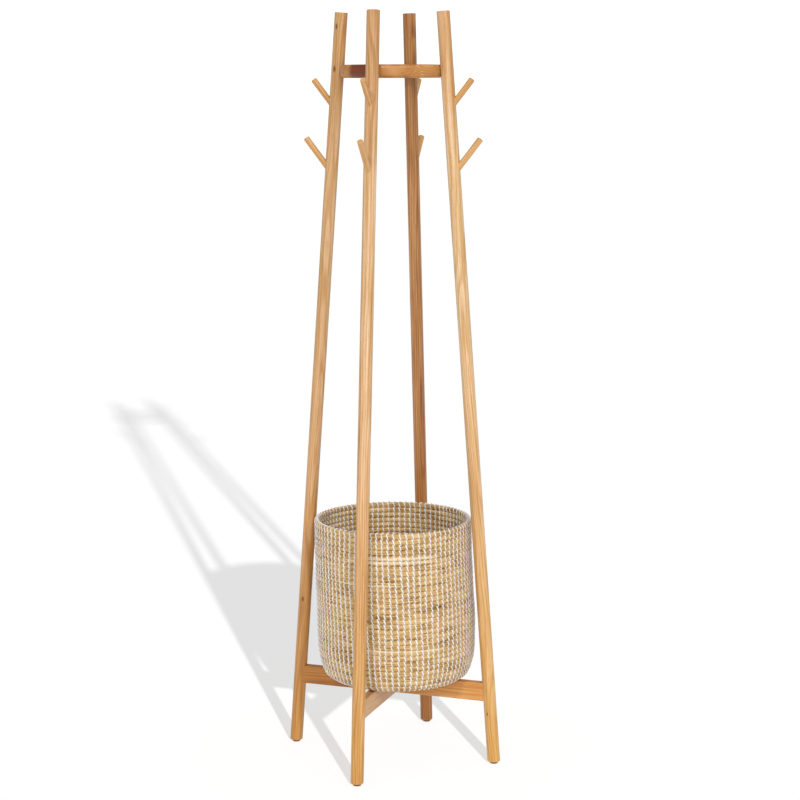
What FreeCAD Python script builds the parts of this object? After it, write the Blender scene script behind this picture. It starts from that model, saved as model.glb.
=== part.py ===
"""Standing coat rack in oak: four splayed round legs, a top ring, two halved cross bars,
eight coat pegs and a loose seagrass basket standing on the cross.

Millimetres. +Z is up and the origin is on the floor under the middle of the rack. Every leg is drawn
in the XZ plane of its own body and turned about Z: right on +X, back on +Y, left on -X, front on -Y.
"""
import FreeCAD, Part
import os
import re
import Sketcher

DIMENSIONS = {
    # legs: straight round rods, leaning in towards the top
    "rack_height": 1750.0,
    "foot_circle_radius": 252.0,
    "top_circle_radius": 122.7,
    "leg_diameter": 30.0,
    "leg_top_round": 1.5,
    "leg_foot_round": 4.0,
    # glides nailed under the legs
    "glide_diameter": 19.0,
    "glide_thickness": 4.0,
    "glide_edge_round": 1.5,
    "nail_head_diameter": 8.0,
    "nail_head_thickness": 1.2,
    "nail_shank_diameter": 2.5,
    "nail_shank_length": 13.0,
    "nail_point_length": 2.0,
    # coat pegs, measured along the peg from the leg's centre line
    "peg_diameter": 14.0,
    "peg_lean": 38.5,
    "peg_tip_round": 1.0,
    "upper_peg_height": 1531.0,
    "upper_peg_length": 85.0,
    "lower_peg_height": 1385.0,
    "lower_peg_length": 100.0,
    # top ring
    "ring_outer_radius": 119.0,
    "ring_wall": 22.0,
    "ring_bottom": 1601.0,
    "ring_height": 30.0,
    "ring_outer_round": 9.0,
    "ring_inner_round": 3.0,
    # cross bars, tenoned into the legs and halved over each other
    "bar_bottom": 151.0,
    "bar_height": 43.0,
    "bar_thickness": 20.0,
    "bar_edge_round": 1.2,
    "tenon_height": 31.0,
    "tenon_thickness": 9.0,
    "tenon_depth": 18.0,
    # hardware, M6 throughout
    "bolt_diameter": 6.0,
    "bolt_hole_diameter": 6.6,
    "bolt_head_diameter": 10.5,
    "bolt_head_height": 3.3,
    "hex_key_size": 4.0,
    "hex_key_depth": 2.0,
    "ring_bolt_length": 28.0,
    "cross_bolt_length": 35.0,
    "washer_diameter": 12.0,
    "washer_thickness": 1.6,
    "recess_diameter": 14.0,
    "recess_depth": 6.0,
    "insert_diameter": 10.0,
    "insert_length": 13.0,
    "insert_setback": 1.2,
    "nut_size": 10.0,
    "nut_height": 5.0,
    # basket: one closed solid of the basket's outer shape and hollow
    "basket_radius": 187.0,
    "basket_rim_height": 577.0,
    "basket_wall": 12.0,
    "basket_corner_round": 50.0,
    "basket_rim_round": 5.5,
    "basket_clearance": 0.3,
    # gap all round a glued or threaded joint
    "joint_gap": 0.05,
}

LEG_TURNS = {"right": 0.0, "back": 90.0, "left": 180.0, "front": 270.0}

# Lengths worked out from the driving dimensions, as expressions.
LEG_RADIUS = "(leg_diameter / 2)"
SPLAY = "atan((foot_circle_radius - top_circle_radius) / rack_height)"
PEG_ANGLE = "(peg_lean * 1 deg)"
BAR_TOP = "(bar_bottom + bar_height)"
BAR_MIDDLE = "(bar_bottom + bar_height / 2)"
RING_MIDDLE = "(ring_bottom + ring_height / 2)"
RING_INNER = "(ring_outer_radius - ring_wall)"
BASKET_BOTTOM = f"({BAR_TOP} + basket_clearance)"

doc = FreeCAD.newDocument("coat_rack")


# ---------------------------------------------------------------- sheet and expressions

def make_sheet():
    """Put every driving dimension in the spreadsheet, under its own alias."""
    table = doc.addObject("Spreadsheet::Sheet", "Dimensions")
    for row, (alias, number) in enumerate(DIMENSIONS.items(), start=1):
        table.set(f"A{row}", alias.replace("_", " "))
        table.set(f"B{row}", str(number))
        table.setAlias(f"B{row}", alias)
    doc.recompute()
    return table


def bound(text):
    """The expression with each dimension's name pointing at the sheet."""
    def point_at_sheet(word):
        name = word.group(0)
        return f"Dimensions.{name}" if name in DIMENSIONS else name
    return re.sub(r"[a-z_]+", point_at_sheet, text)


def value(text):
    """The number that an expression gives now."""
    return float(sheet.evalExpression(bound(text)))


def leg_line(height):
    """Distance of the leg's centre line from the rack's axis at a height."""
    lean = "(foot_circle_radius - top_circle_radius) / rack_height"
    return f"(foot_circle_radius - {lean} * ({height}))"


def leg_inside(height):
    """Distance of the leg's inner surface from the rack's axis at a height."""
    return f"({leg_line(height)} - {LEG_RADIUS} / cos({SPLAY}))"


def on_slant(start, angle, along, across):
    """Point reached from start by going along a line that leans outwards, then square to it."""
    x, z = start
    return (f"{x} + ({along}) * sin({angle}) + ({across}) * cos({angle})",
            f"{z} + ({along}) * cos({angle}) - ({across}) * sin({angle})")


# ---------------------------------------------------------------- bodies and sketches

def origin_feature(body, role):
    return next(item for item in body.Origin.OriginFeatures if item.Role == role)


def new_body(name):
    return doc.addObject("PartDesign::Body", name)


def new_sketch(body, name, plane="XZ_Plane"):
    sketch = body.newObject("Sketcher::SketchObject", name)
    sketch.AttachmentSupport = [(origin_feature(body, plane), "")]
    sketch.MapMode = "FlatFace"
    return sketch


def hold_point(sketch, line, name, corner):
    """Fix a line's first point by two dimensions bound to the sheet."""
    for kind, text in zip(("DistanceX", "DistanceY"), corner):
        number = value(text)
        if abs(number) < 1e-9:
            axis = -2 if kind == "DistanceX" else -1
            sketch.addConstraint(Sketcher.Constraint("PointOnObject", line, 1, axis))
            continue
        index = sketch.addConstraint(Sketcher.Constraint(kind, line, 1, number))
        sketch.renameConstraint(index, f"{name}_{kind[-1]}")
        sketch.setExpression(f"Constraints.{name}_{kind[-1]}", bound(text))


def draw_outline(sketch, corners):
    """Closed outline through corners, each a pair of expressions."""
    points = [FreeCAD.Vector(value(x), value(y), 0) for x, y in corners]
    count = len(points)
    for index, point in enumerate(points):
        sketch.addGeometry(Part.LineSegment(point, points[(index + 1) % count]), False)
    for index in range(count):
        sketch.addConstraint(Sketcher.Constraint("Coincident", index, 2, (index + 1) % count, 1))
    for index, corner in enumerate(corners):
        hold_point(sketch, index, f"corner{index}", corner)


def axis_on_last_side(sketch, corners):
    """Construction line on the outline's closing side, for turning about it."""
    first, last = [FreeCAD.Vector(value(x), value(y), 0) for x, y in (corners[0], corners[-1])]
    line = sketch.addGeometry(Part.LineSegment(first, last), True)
    sketch.addConstraint(Sketcher.Constraint("Coincident", line, 1, 0, 1))
    sketch.addConstraint(Sketcher.Constraint("Coincident", line, 2, len(corners) - 1, 1))


def turned(body, name, corners, cut=False, about_z=False):
    """Revolve an outline about its closing side, or about Z; cut takes the shape away."""
    sketch = new_sketch(body, f"{name}_outline")
    draw_outline(sketch, corners)
    if not about_z:
        axis_on_last_side(sketch, corners)
    kind = "PartDesign::Groove" if cut else "PartDesign::Revolution"
    feature = body.newObject(kind, name)
    feature.Profile = sketch
    feature.ReferenceAxis = (sketch, ["V_Axis" if about_z else "Axis0"])
    feature.Angle = 360
    return settle(body, feature, cut)


def flat(body, name, corners, thickness, cut=False):
    """Pad or pocket an outline in the XZ plane equally to both sides."""
    sketch = new_sketch(body, f"{name}_outline")
    draw_outline(sketch, corners)
    feature = body.newObject("PartDesign::Pocket" if cut else "PartDesign::Pad", name)
    feature.Profile = sketch
    feature.Type = "Length"
    feature.SideType = "Symmetric"
    feature.setExpression("Length", bound(thickness))
    return settle(body, feature, cut)


def settle(body, feature, cut):
    """Recompute, and stop if a cut took nothing away or a pad added nothing."""
    before = feature.BaseFeature.Shape.Volume if feature.BaseFeature else 0.0
    doc.recompute()
    change = feature.Shape.Volume - before
    if (change >= 0) if cut else (change <= 0):
        raise RuntimeError(f"{body.Name}.{feature.Name} changed the volume by {change}")
    return feature


def rounded(body, name, wanted, radius):
    """Fillet the edges of the body's last feature for which wanted(edge) is true."""
    base = body.Tip
    edges = [f"Edge{i}" for i, edge in enumerate(base.Shape.Edges, start=1) if wanted(edge)]
    if not edges:
        raise RuntimeError(f"{body.Name}.{name} found no edge")
    fillet = body.newObject("PartDesign::Fillet", name)
    fillet.Base = (base, edges)
    fillet.setExpression("Radius", bound(radius))
    doc.recompute()
    return fillet


def repeat_round(body, name, features, occurrences):
    pattern = body.newObject("PartDesign::PolarPattern", name)
    pattern.Originals = features
    pattern.Axis = (origin_feature(body, "Z_Axis"), [""])
    pattern.Angle = 360
    pattern.Occurrences = occurrences
    body.Tip = pattern
    doc.recompute()


def mirror_across(body, name, features):
    mirrored = body.newObject("PartDesign::Mirrored", name)
    mirrored.Originals = features
    mirrored.MirrorPlane = (origin_feature(body, "YZ_Plane"), [""])
    body.Tip = mirrored
    doc.recompute()


def circles_of(radius, height):
    """Test for round edges of a radius whose centre is at a height."""
    def wanted(edge):
        curve = edge.Curve
        is_circle = isinstance(curve, Part.Circle)
        return is_circle and abs(curve.Radius - radius) < 0.01 and abs(curve.Center.z - height) < 0.01
    return wanted


def about_z(degrees):
    return FreeCAD.Placement(FreeCAD.Vector(), FreeCAD.Rotation(FreeCAD.Vector(0, 0, 1), degrees))


# ---------------------------------------------------------------- legs, glides and nails

def leg_section(bottom, top, radius):
    """Half section of the leg's rod between two distances along its centre line from the floor."""
    start = ("foot_circle_radius", "0")
    lean_in = f"(-{SPLAY})"
    return [on_slant(start, lean_in, bottom, "0"), on_slant(start, lean_in, bottom, radius),
            on_slant(start, lean_in, top, radius), on_slant(start, lean_in, top, "0")]


def peg_section(height, inner, outer, radius):
    """Half section of a peg, from its place on the leg's centre line outwards."""
    start = (leg_line(height), height)
    return [on_slant(start, PEG_ANGLE, inner, "0"), on_slant(start, PEG_ANGLE, inner, radius),
            on_slant(start, PEG_ANGLE, outer, radius), on_slant(start, PEG_ANGLE, outer, "0")]


def make_leg(side):
    body = new_body(f"leg_{side}")
    length = f"(rack_height / cos({SPLAY}))"
    turned(body, "rod", leg_section("0", length, LEG_RADIUS))
    cut_left = "foot_circle_radius - leg_diameter"
    cut_right = "foot_circle_radius + leg_diameter"
    flat(body, "level_foot", [(cut_left, "-leg_diameter"), (cut_right, "-leg_diameter"),
                              (cut_right, "glide_thickness"), (cut_left, "glide_thickness")],
         "2 * leg_diameter", cut=True)
    foot_height = value("glide_thickness")
    top_height = value("rack_height")
    rounded(body, "foot_edge", lambda edge: abs(edge.BoundBox.ZMax - foot_height) < 0.01, "leg_foot_round")
    rounded(body, "top_edge", lambda edge: edge.BoundBox.ZMin > top_height - value("leg_diameter")
            and edge.BoundBox.XLength > value(LEG_RADIUS), "leg_top_round")
    mortise_start = f"{leg_inside(BAR_MIDDLE)} - leg_diameter / 4"
    mortise_end = f"{leg_inside(BAR_MIDDLE)} + tenon_depth + joint_gap"
    mortise_low = f"{BAR_MIDDLE} - tenon_height / 2 - joint_gap"
    mortise_high = f"{BAR_MIDDLE} + tenon_height / 2 + joint_gap"
    flat(body, "mortise", [(mortise_start, mortise_low), (mortise_end, mortise_low),
                           (mortise_end, mortise_high), (mortise_start, mortise_high)],
         "tenon_thickness + 2 * joint_gap", cut=True)
    for level in ("upper", "lower"):
        turned(body, f"{level}_peg_socket",
               peg_section(f"{level}_peg_height", "-joint_gap", "2 * leg_diameter",
                           "peg_diameter / 2 + joint_gap"), cut=True)
    socket_start = f"{leg_inside(RING_MIDDLE)} - leg_diameter / 4"
    socket_end = f"{leg_inside(RING_MIDDLE)} + insert_setback + insert_length"
    socket_radius = f"{RING_MIDDLE} + insert_diameter / 2 + joint_gap"
    turned(body, "insert_socket", [(socket_start, RING_MIDDLE), (socket_start, socket_radius),
                                   (socket_end, socket_radius), (socket_end, RING_MIDDLE)], cut=True)
    nail_x = leg_line("glide_thickness")
    nail_wall = f"{nail_x} + nail_shank_diameter / 2 + joint_gap"
    nail_top = "glide_thickness + nail_shank_length + nail_point_length"
    turned(body, "nail_hole", [(nail_x, "0"), (nail_wall, "0"), (nail_wall, nail_top), (nail_x, nail_top)],
           cut=True)
    body.Placement = about_z(LEG_TURNS[side])
    return body


def glide_place(side):
    """Under the leg, centred on its line where the foot is cut level."""
    outwards = FreeCAD.Vector(value(leg_line("glide_thickness")), 0, 0)
    return about_z(LEG_TURNS[side]) * FreeCAD.Placement(outwards, FreeCAD.Rotation())


def make_glide(side):
    body = new_body(f"glide_{side}")
    pocket_radius = "nail_head_diameter / 2 + joint_gap"
    pocket_floor = "glide_thickness - nail_head_thickness"
    edge = "glide_diameter / 2"
    turned(body, "button", [("0", "0"), (edge, "0"), (edge, "glide_thickness"),
                            (pocket_radius, "glide_thickness"), (pocket_radius, pocket_floor),
                            ("0", pocket_floor)])
    rounded(body, "lower_edge", circles_of(value(edge), 0.0), "glide_edge_round")
    body.Placement = glide_place(side)
    return body


def make_glide_nail(side):
    body = new_body(f"glide_nail_{side}")
    head_floor = "glide_thickness - nail_head_thickness"
    shank_end = "glide_thickness + nail_shank_length"
    turned(body, "nail", [("0", head_floor), ("nail_head_diameter / 2", head_floor),
                          ("nail_head_diameter / 2", "glide_thickness"),
                          ("nail_shank_diameter / 2", "glide_thickness"),
                          ("nail_shank_diameter / 2", shank_end), ("0", f"{shank_end} + nail_point_length")])
    body.Placement = glide_place(side)
    return body


def make_peg(level, side):
    body = new_body(f"{level}_peg_{side}")
    turned(body, "rod", peg_section(f"{level}_peg_height", "0", f"{level}_peg_length", "peg_diameter / 2"))
    tip_height = max(edge.BoundBox.ZMax for edge in body.Shape.Edges)
    rounded(body, "tip_edge", lambda edge: isinstance(edge.Curve, Part.Circle)
            and edge.BoundBox.ZMax > tip_height - 1.0, "peg_tip_round")
    body.Placement = about_z(LEG_TURNS[side])
    return body


# ---------------------------------------------------------------- top ring

def make_top_ring():
    body = new_body("top_ring")
    ring_top = "ring_bottom + ring_height"
    turned(body, "hoop", [(RING_INNER, "ring_bottom"), ("ring_outer_radius", "ring_bottom"),
                          ("ring_outer_radius", ring_top), (RING_INNER, ring_top)], about_z=True)
    for place, radius, rounding in (("outer", "ring_outer_radius", "ring_outer_round"),
                                    ("inner", RING_INNER, "ring_inner_round")):
        for level, height in (("lower", "ring_bottom"), ("upper", ring_top)):
            rounded(body, f"{place}_{level}_edge", circles_of(value(radius), value(height)), rounding)
    saddle = turned(body, "leg_saddle",
                    leg_section("ring_bottom - leg_diameter", "ring_bottom + 3 * leg_diameter",
                                f"{LEG_RADIUS} + joint_gap"), cut=True)
    recess_end = f"{RING_INNER} + recess_depth"
    hole_edge = f"{RING_MIDDLE} + bolt_hole_diameter / 2"
    recess_edge = f"{RING_MIDDLE} + recess_diameter / 2"
    past_wall = "ring_outer_radius + ring_wall"
    recess_start = f"{RING_INNER} - ring_wall"
    hole = turned(body, "bolt_hole", [(recess_start, RING_MIDDLE), (recess_start, recess_edge),
                                      (recess_end, recess_edge), (recess_end, hole_edge),
                                      (past_wall, hole_edge), (past_wall, RING_MIDDLE)], cut=True)
    repeat_round(body, "four_legs", [saddle, hole], len(LEG_TURNS))
    return body


# ---------------------------------------------------------------- cross bars

def make_cross_bar(name, notch_low, notch_high, recess_low, recess_high, turn):
    """Bar with coped shoulders, a tenon at each end, and a half-depth notch in the middle."""
    body = new_body(name)
    low_end = leg_line("bar_bottom")
    high_end = leg_line(BAR_TOP)
    flat(body, "blank", [(f"-{low_end}", "bar_bottom"), (low_end, "bar_bottom"),
                         (high_end, BAR_TOP), (f"-{high_end}", BAR_TOP)], "bar_thickness")
    rounded(body, "long_edges", lambda edge: edge.BoundBox.XLength > 400, "bar_edge_round")
    shoulder = turned(body, "shoulder", leg_section("bar_bottom - leg_diameter",
                                                    "bar_bottom + bar_height + leg_diameter",
                                                    f"{LEG_RADIUS} + joint_gap"), cut=True)
    mirror_across(body, "far_shoulder", [shoulder])
    tenon_end = f"({leg_inside(BAR_MIDDLE)} + tenon_depth)"
    tenon_low = f"{BAR_MIDDLE} - tenon_height / 2"
    tenon_high = f"{BAR_MIDDLE} + tenon_height / 2"
    flat(body, "tenons", [(f"-{tenon_end}", tenon_low), (tenon_end, tenon_low),
                          (tenon_end, tenon_high), (f"-{tenon_end}", tenon_high)], "tenon_thickness")
    half = "(bar_thickness / 2 + joint_gap)"
    flat(body, "halving", [(f"-{half}", notch_low), (half, notch_low), (half, notch_high),
                           (f"-{half}", notch_high)], "2 * bar_thickness", cut=True)
    turned(body, "bolt_hole", [("0", "bar_bottom"), ("bolt_hole_diameter / 2", "bar_bottom"),
                               ("bolt_hole_diameter / 2", BAR_TOP), ("0", BAR_TOP)], cut=True)
    turned(body, "bolt_recess", [("0", recess_low), ("recess_diameter / 2", recess_low),
                                 ("recess_diameter / 2", recess_high), ("0", recess_high)], cut=True)
    body.Placement = about_z(turn)
    return body


def make_cross_bars():
    """One bar is notched below its middle and the other above, so that their tops are level."""
    below = "bar_bottom - bar_height"
    above = f"{BAR_TOP} + bar_height"
    return [make_cross_bar("cross_bar_left_right", below, BAR_MIDDLE,
                           f"{BAR_TOP} - recess_depth", BAR_TOP, LEG_TURNS["right"]),
            make_cross_bar("cross_bar_front_back", BAR_MIDDLE, above,
                           "bar_bottom", "bar_bottom + recess_depth", LEG_TURNS["back"])]


# ---------------------------------------------------------------- hardware

def hexagon(size):
    """Corners of a hexagon, from its size across the flats."""
    return [(f"({size}) / sqrt(3) * cos({60 * i} deg)", f"({size}) / sqrt(3) * sin({60 * i} deg)")
            for i in range(6)]


def make_bolt(name, length, place):
    """Button-head bolt standing on its tip: washer face at zero, head above it."""
    body = new_body(name)
    head = "bolt_head_diameter / 2"
    turned(body, "blank", [("0", f"-{length}"), ("bolt_diameter / 2", f"-{length}"),
                           ("bolt_diameter / 2", "0"), (head, "0"), (head, "bolt_head_height / 3"),
                           (f"0.6 * {head}", "bolt_head_height"), ("0", "bolt_head_height")])
    sketch = new_sketch(body, "key_outline", "XY_Plane")
    draw_outline(sketch, hexagon("hex_key_size"))
    sketch.setExpression("AttachmentOffset.Base.z", bound("bolt_head_height"))
    socket = body.newObject("PartDesign::Pocket", "key_socket")
    socket.Profile = sketch
    socket.setExpression("Length", bound("hex_key_depth"))
    settle(body, socket, cut=True)
    body.Placement = place
    return body


def make_washer(name, place):
    """Flat washer lying on zero, its hole the bolt's clearance size."""
    body = new_body(name)
    turned(body, "disc", [("bolt_hole_diameter / 2", "0"), ("washer_diameter / 2", "0"),
                          ("washer_diameter / 2", "washer_thickness"),
                          ("bolt_hole_diameter / 2", "washer_thickness")], about_z=True)
    body.Placement = place
    return body


def make_insert(name, place):
    """Threaded insert, its mouth at zero and its body below."""
    body = new_body(name)
    bore = "bolt_diameter / 2 + joint_gap"
    turned(body, "sleeve", [(bore, "-insert_length"), ("insert_diameter / 2", "-insert_length"),
                            ("insert_diameter / 2", "0"), (bore, "0")], about_z=True)
    body.Placement = place
    return body


def make_cross_nut():
    """Hexagon nut let into the top of the upper bar, over the cross bolt."""
    body = new_body("cross_nut")
    sketch = new_sketch(body, "nut_outline", "XY_Plane")
    draw_outline(sketch, hexagon("nut_size"))
    pad = body.newObject("PartDesign::Pad", "nut_blank")
    pad.Profile = sketch
    pad.setExpression("Length", bound("nut_height"))
    settle(body, pad, cut=False)
    bore = "bolt_diameter / 2 + joint_gap"
    turned(body, "nut_bore", [("0", "0"), (bore, "0"), (bore, "nut_height"), ("0", "nut_height")], cut=True)
    body.Placement = FreeCAD.Placement(FreeCAD.Vector(0, 0, value(f"{BAR_TOP} - recess_depth")),
                                       FreeCAD.Rotation())
    return body


def facing_axis(side, distance):
    """Place at the ring's height whose own +Z points at the rack's axis."""
    start = FreeCAD.Vector(value(distance), 0, value(RING_MIDDLE))
    lay_down = FreeCAD.Rotation(FreeCAD.Vector(0, 1, 0), -90)
    return about_z(LEG_TURNS[side]) * FreeCAD.Placement(start, lay_down)


def group(name, bodies):
    """Identical pieces kept together as one node of separate solids."""
    compound = doc.addObject("Part::Compound", name)
    compound.Links = bodies
    return compound


def make_ring_hardware():
    recess_floor = f"{RING_INNER} + recess_depth"
    under_head = f"{recess_floor} - washer_thickness"
    insert_mouth = f"{leg_inside(RING_MIDDLE)} + insert_setback"
    bolts = [make_bolt(f"ring_bolt_{side}", "ring_bolt_length", facing_axis(side, under_head))
             for side in LEG_TURNS]
    washers = [make_washer(f"ring_washer_{side}", facing_axis(side, recess_floor)) for side in LEG_TURNS]
    inserts = [make_insert(f"leg_insert_{side}", facing_axis(side, insert_mouth)) for side in LEG_TURNS]
    return [group("ring_bolts", bolts), group("ring_washers", washers), group("leg_inserts", inserts)]


def make_cross_hardware():
    """Bolt and washer in the recess under the lower bar, nut in the top of the upper one."""
    upside_down = FreeCAD.Rotation(FreeCAD.Vector(1, 0, 0), 180)
    recess_floor = FreeCAD.Placement(FreeCAD.Vector(0, 0, value("bar_bottom + recess_depth")), upside_down)
    under_head = FreeCAD.Placement(
        FreeCAD.Vector(0, 0, value("bar_bottom + recess_depth - washer_thickness")), upside_down)
    return [make_bolt("cross_bolt", "cross_bolt_length", under_head),
            make_washer("cross_washer", recess_floor), make_cross_nut()]


# ---------------------------------------------------------------- basket

def make_basket():
    body = new_body("basket")
    inner = "basket_radius - basket_wall"
    floor_top = f"{BASKET_BOTTOM} + basket_wall"
    turned(body, "shell", [("0", BASKET_BOTTOM), ("basket_radius", BASKET_BOTTOM),
                           ("basket_radius", "basket_rim_height"), (inner, "basket_rim_height"),
                           (inner, floor_top), ("0", floor_top)])
    outer_radius = value("basket_radius")
    inner_radius = value(inner)
    rim = value("basket_rim_height")
    rounded(body, "outer_corner", circles_of(outer_radius, value(BASKET_BOTTOM)), "basket_corner_round")
    rounded(body, "inner_corner", circles_of(inner_radius, value(floor_top)), "basket_corner_round - basket_wall")
    rounded(body, "outer_rim", circles_of(outer_radius, rim), "basket_rim_round")
    rounded(body, "inner_rim", circles_of(inner_radius, rim), "basket_rim_round")
    return body


# ---------------------------------------------------------------- the whole rack

def make_rack():
    nodes = [make_leg(side) for side in LEG_TURNS]
    nodes += [make_glide(side) for side in LEG_TURNS]
    nodes.append(group("glide_nails", [make_glide_nail(side) for side in LEG_TURNS]))
    nodes += [make_peg(level, side) for level in ("upper", "lower") for side in LEG_TURNS]
    nodes.append(make_top_ring())
    nodes += make_ring_hardware()
    nodes += make_cross_bars()
    nodes += make_cross_hardware()
    nodes.append(make_basket())
    return nodes


def check_document():
    for item in doc.Objects:
        if "Invalid" in item.State or "Error" in item.State:
            raise RuntimeError(f"{item.Name} failed: {item.State}")


def check_and_export(nodes):
    os.makedirs("parts", exist_ok=True)
    for node in nodes:
        if node.Shape.isNull() or not node.Shape.isValid():
            raise RuntimeError(f"{node.Label} has no valid shape")
    for node in nodes:
        node.Shape.exportStep(f"parts/{node.Label}.step")
        box = node.Shape.BoundBox
        print(f"{node.Label}: {len(node.Shape.Solids)} solid(s), {node.Shape.Volume:.0f} mm3,"
              f" z {box.ZMin:.1f} to {box.ZMax:.1f}")


sheet = make_sheet()
rack_nodes = make_rack()
doc.recompute()
check_document()
check_and_export(rack_nodes)
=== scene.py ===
"""An oak coat rack with a coiled seagrass basket: finishes, basket and studio."""

import math

import bmesh
import bpy
from bpy.props import (FloatProperty, FloatVectorProperty, IntProperty,
                       PointerProperty)
from mathutils import Matrix, Vector, noise


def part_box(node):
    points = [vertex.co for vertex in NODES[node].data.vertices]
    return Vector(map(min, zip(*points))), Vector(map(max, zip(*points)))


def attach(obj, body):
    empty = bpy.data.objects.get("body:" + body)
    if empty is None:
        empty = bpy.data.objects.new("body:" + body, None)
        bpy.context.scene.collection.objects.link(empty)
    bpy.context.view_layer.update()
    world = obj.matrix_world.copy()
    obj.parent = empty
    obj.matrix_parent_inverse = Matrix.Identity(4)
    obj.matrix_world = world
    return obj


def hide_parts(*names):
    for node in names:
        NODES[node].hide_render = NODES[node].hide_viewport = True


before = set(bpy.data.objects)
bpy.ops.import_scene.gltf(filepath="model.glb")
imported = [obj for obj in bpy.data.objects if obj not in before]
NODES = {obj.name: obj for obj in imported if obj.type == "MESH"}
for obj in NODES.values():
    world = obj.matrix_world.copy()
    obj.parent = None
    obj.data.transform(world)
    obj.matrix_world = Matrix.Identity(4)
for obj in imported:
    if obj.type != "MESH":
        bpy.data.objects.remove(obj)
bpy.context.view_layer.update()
BASKET_LOW, BASKET_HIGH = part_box("basket")
SIDES = ("right", "back", "left", "front")
# The ring panel's boards run along the first line and lie side by side along the
# second, in plan.
RING_GRAIN = (0.416, 0.909, 0.0)
RING_ACROSS = (0.909, -0.416, 0.0)
LEG_RADIUS = 0.015
# A peg's lean from upright, in degrees.
PEG_LEAN = 38.5

bl_info = {
    "name": "Oak Coat Rack",
    "version": (1, 0, 0),
    "blender": (4, 5, 0),
    "location": "3D View > Sidebar > Coat Rack",
    "description": "Oak, seagrass and metal finishes for a coat rack with a basket",
    "category": "Object",
}


def linear(code):
    """The linear colour of an sRGB hex code."""
    parts = [int(code[i:i + 2], 16) / 255 for i in (1, 3, 5)]
    return tuple(c / 12.92 if c <= 0.04045 else ((c + 0.055) / 1.055) ** 2.4
                 for c in parts) + (1.0,)


# ---------------------------------------------------------------- settings


class OakSettings(bpy.types.PropertyGroup):
    ring_width: FloatProperty(
        name="Ring width", description="Spacing of the growth rings",
        default=0.0032, min=0.001, max=0.01, unit="LENGTH", precision=4)
    streak_width: FloatProperty(
        name="Streak width", description="Width of the fine streaks of the grain",
        default=0.0026, min=0.0005, max=0.02, unit="LENGTH", precision=4)
    streak_length: FloatProperty(
        name="Streak length", description="Length of the fine streaks of the grain",
        default=0.11, min=0.01, max=1.0, unit="LENGTH")
    roughness: FloatProperty(
        name="Roughness", description="Roughness of the oiled surface",
        default=0.38, min=0.0, max=1.0, subtype="FACTOR")


class BasketSettings(bpy.types.PropertyGroup):
    rows: IntProperty(
        name="Rows", description="Coils from the rim to the middle of the base",
        default=43, min=20, max=60)
    bundle_height: FloatProperty(
        name="Bundle height", description="Height of one coil of seagrass",
        default=0.0125, min=0.005, max=0.03, unit="LENGTH", precision=4)
    bundle_depth: FloatProperty(
        name="Bundle depth", description="Thickness of one coil through the wall",
        default=0.0100, min=0.005, max=0.03, unit="LENGTH", precision=4)
    columns: IntProperty(
        name="Stitch columns", description="Stitches round the wall in one row",
        default=83, min=20, max=200)
    twine: FloatProperty(
        name="Twine", description="Thickness of the white twine",
        default=0.0037, min=0.001, max=0.006, unit="LENGTH", precision=4)
    slant: FloatProperty(
        name="Slant", description="How far one stitch runs sideways over a coil",
        default=0.0050, min=0.0, max=0.02, unit="LENGTH", precision=4)
    lean: FloatVectorProperty(
        name="Lean", description="How far the base sits to one side of the rim",
        default=(0.0080, 0.0028), size=2, unit="LENGTH", precision=4)
    straw: FloatVectorProperty(
        name="Straw", description="Main colour of the dried seagrass",
        default=linear("#BF995D")[:3], subtype="COLOR", min=0.0, max=1.0)
    twine_colour: FloatVectorProperty(
        name="Twine colour", description="Colour of the twine",
        default=linear("#DEDBDC")[:3], subtype="COLOR", min=0.0, max=1.0)


class FittingSettings(bpy.types.PropertyGroup):
    glide_colour: FloatVectorProperty(
        name="Glide colour", description="Colour of the moulded glides",
        default=linear("#66301C")[:3], subtype="COLOR", min=0.0, max=1.0)
    zinc: FloatVectorProperty(
        name="Zinc", description="Colour of the plated steel",
        default=linear("#C4C7CB")[:3], subtype="COLOR", min=0.0, max=1.0)
    brass: FloatVectorProperty(
        name="Brass", description="Colour of the brass inserts",
        default=linear("#D0AC62")[:3], subtype="COLOR", min=0.0, max=1.0)


class StageSettings(bpy.types.PropertyGroup):
    camera_place: FloatVectorProperty(
        name="Camera place", description="Where the camera stands",
        default=(1.556, -4.418, 1.586), unit="LENGTH", precision=3)
    camera_turn: FloatVectorProperty(
        name="Camera turn", description="Tilt, roll and heading of the camera",
        default=tuple(math.radians(a) for a in (81.143, -0.1335, 19.40)),
        unit="ROTATION", precision=4)
    lens: FloatProperty(
        name="Lens", description="Focal length of the camera, in millimetres",
        default=91.07, min=20.0, max=300.0)
    shift: FloatProperty(
        name="Shift", description="Sideways shift of the camera's view",
        default=0.0091, min=-0.1, max=0.1, precision=4)
    sky: FloatProperty(
        name="Room light", description="Strength of the light from the white room",
        default=0.40, min=0.0, max=5.0)
    key: FloatProperty(
        name="Key light", description="Strength of the main light",
        default=1.2, min=0.0, max=20.0)
    fill: FloatProperty(
        name="Fill light", description="Strength of the second light",
        default=1.4, min=0.0, max=20.0)
    front: FloatProperty(
        name="Front light", description="Strength of the low light by the camera",
        default=0.55, min=0.0, max=20.0)
    floor: FloatProperty(
        name="Floor light", description="Strength of the light on the floor",
        default=6.5, min=0.0, max=20.0)


# ---------------------------------------------------------------- materials


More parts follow.
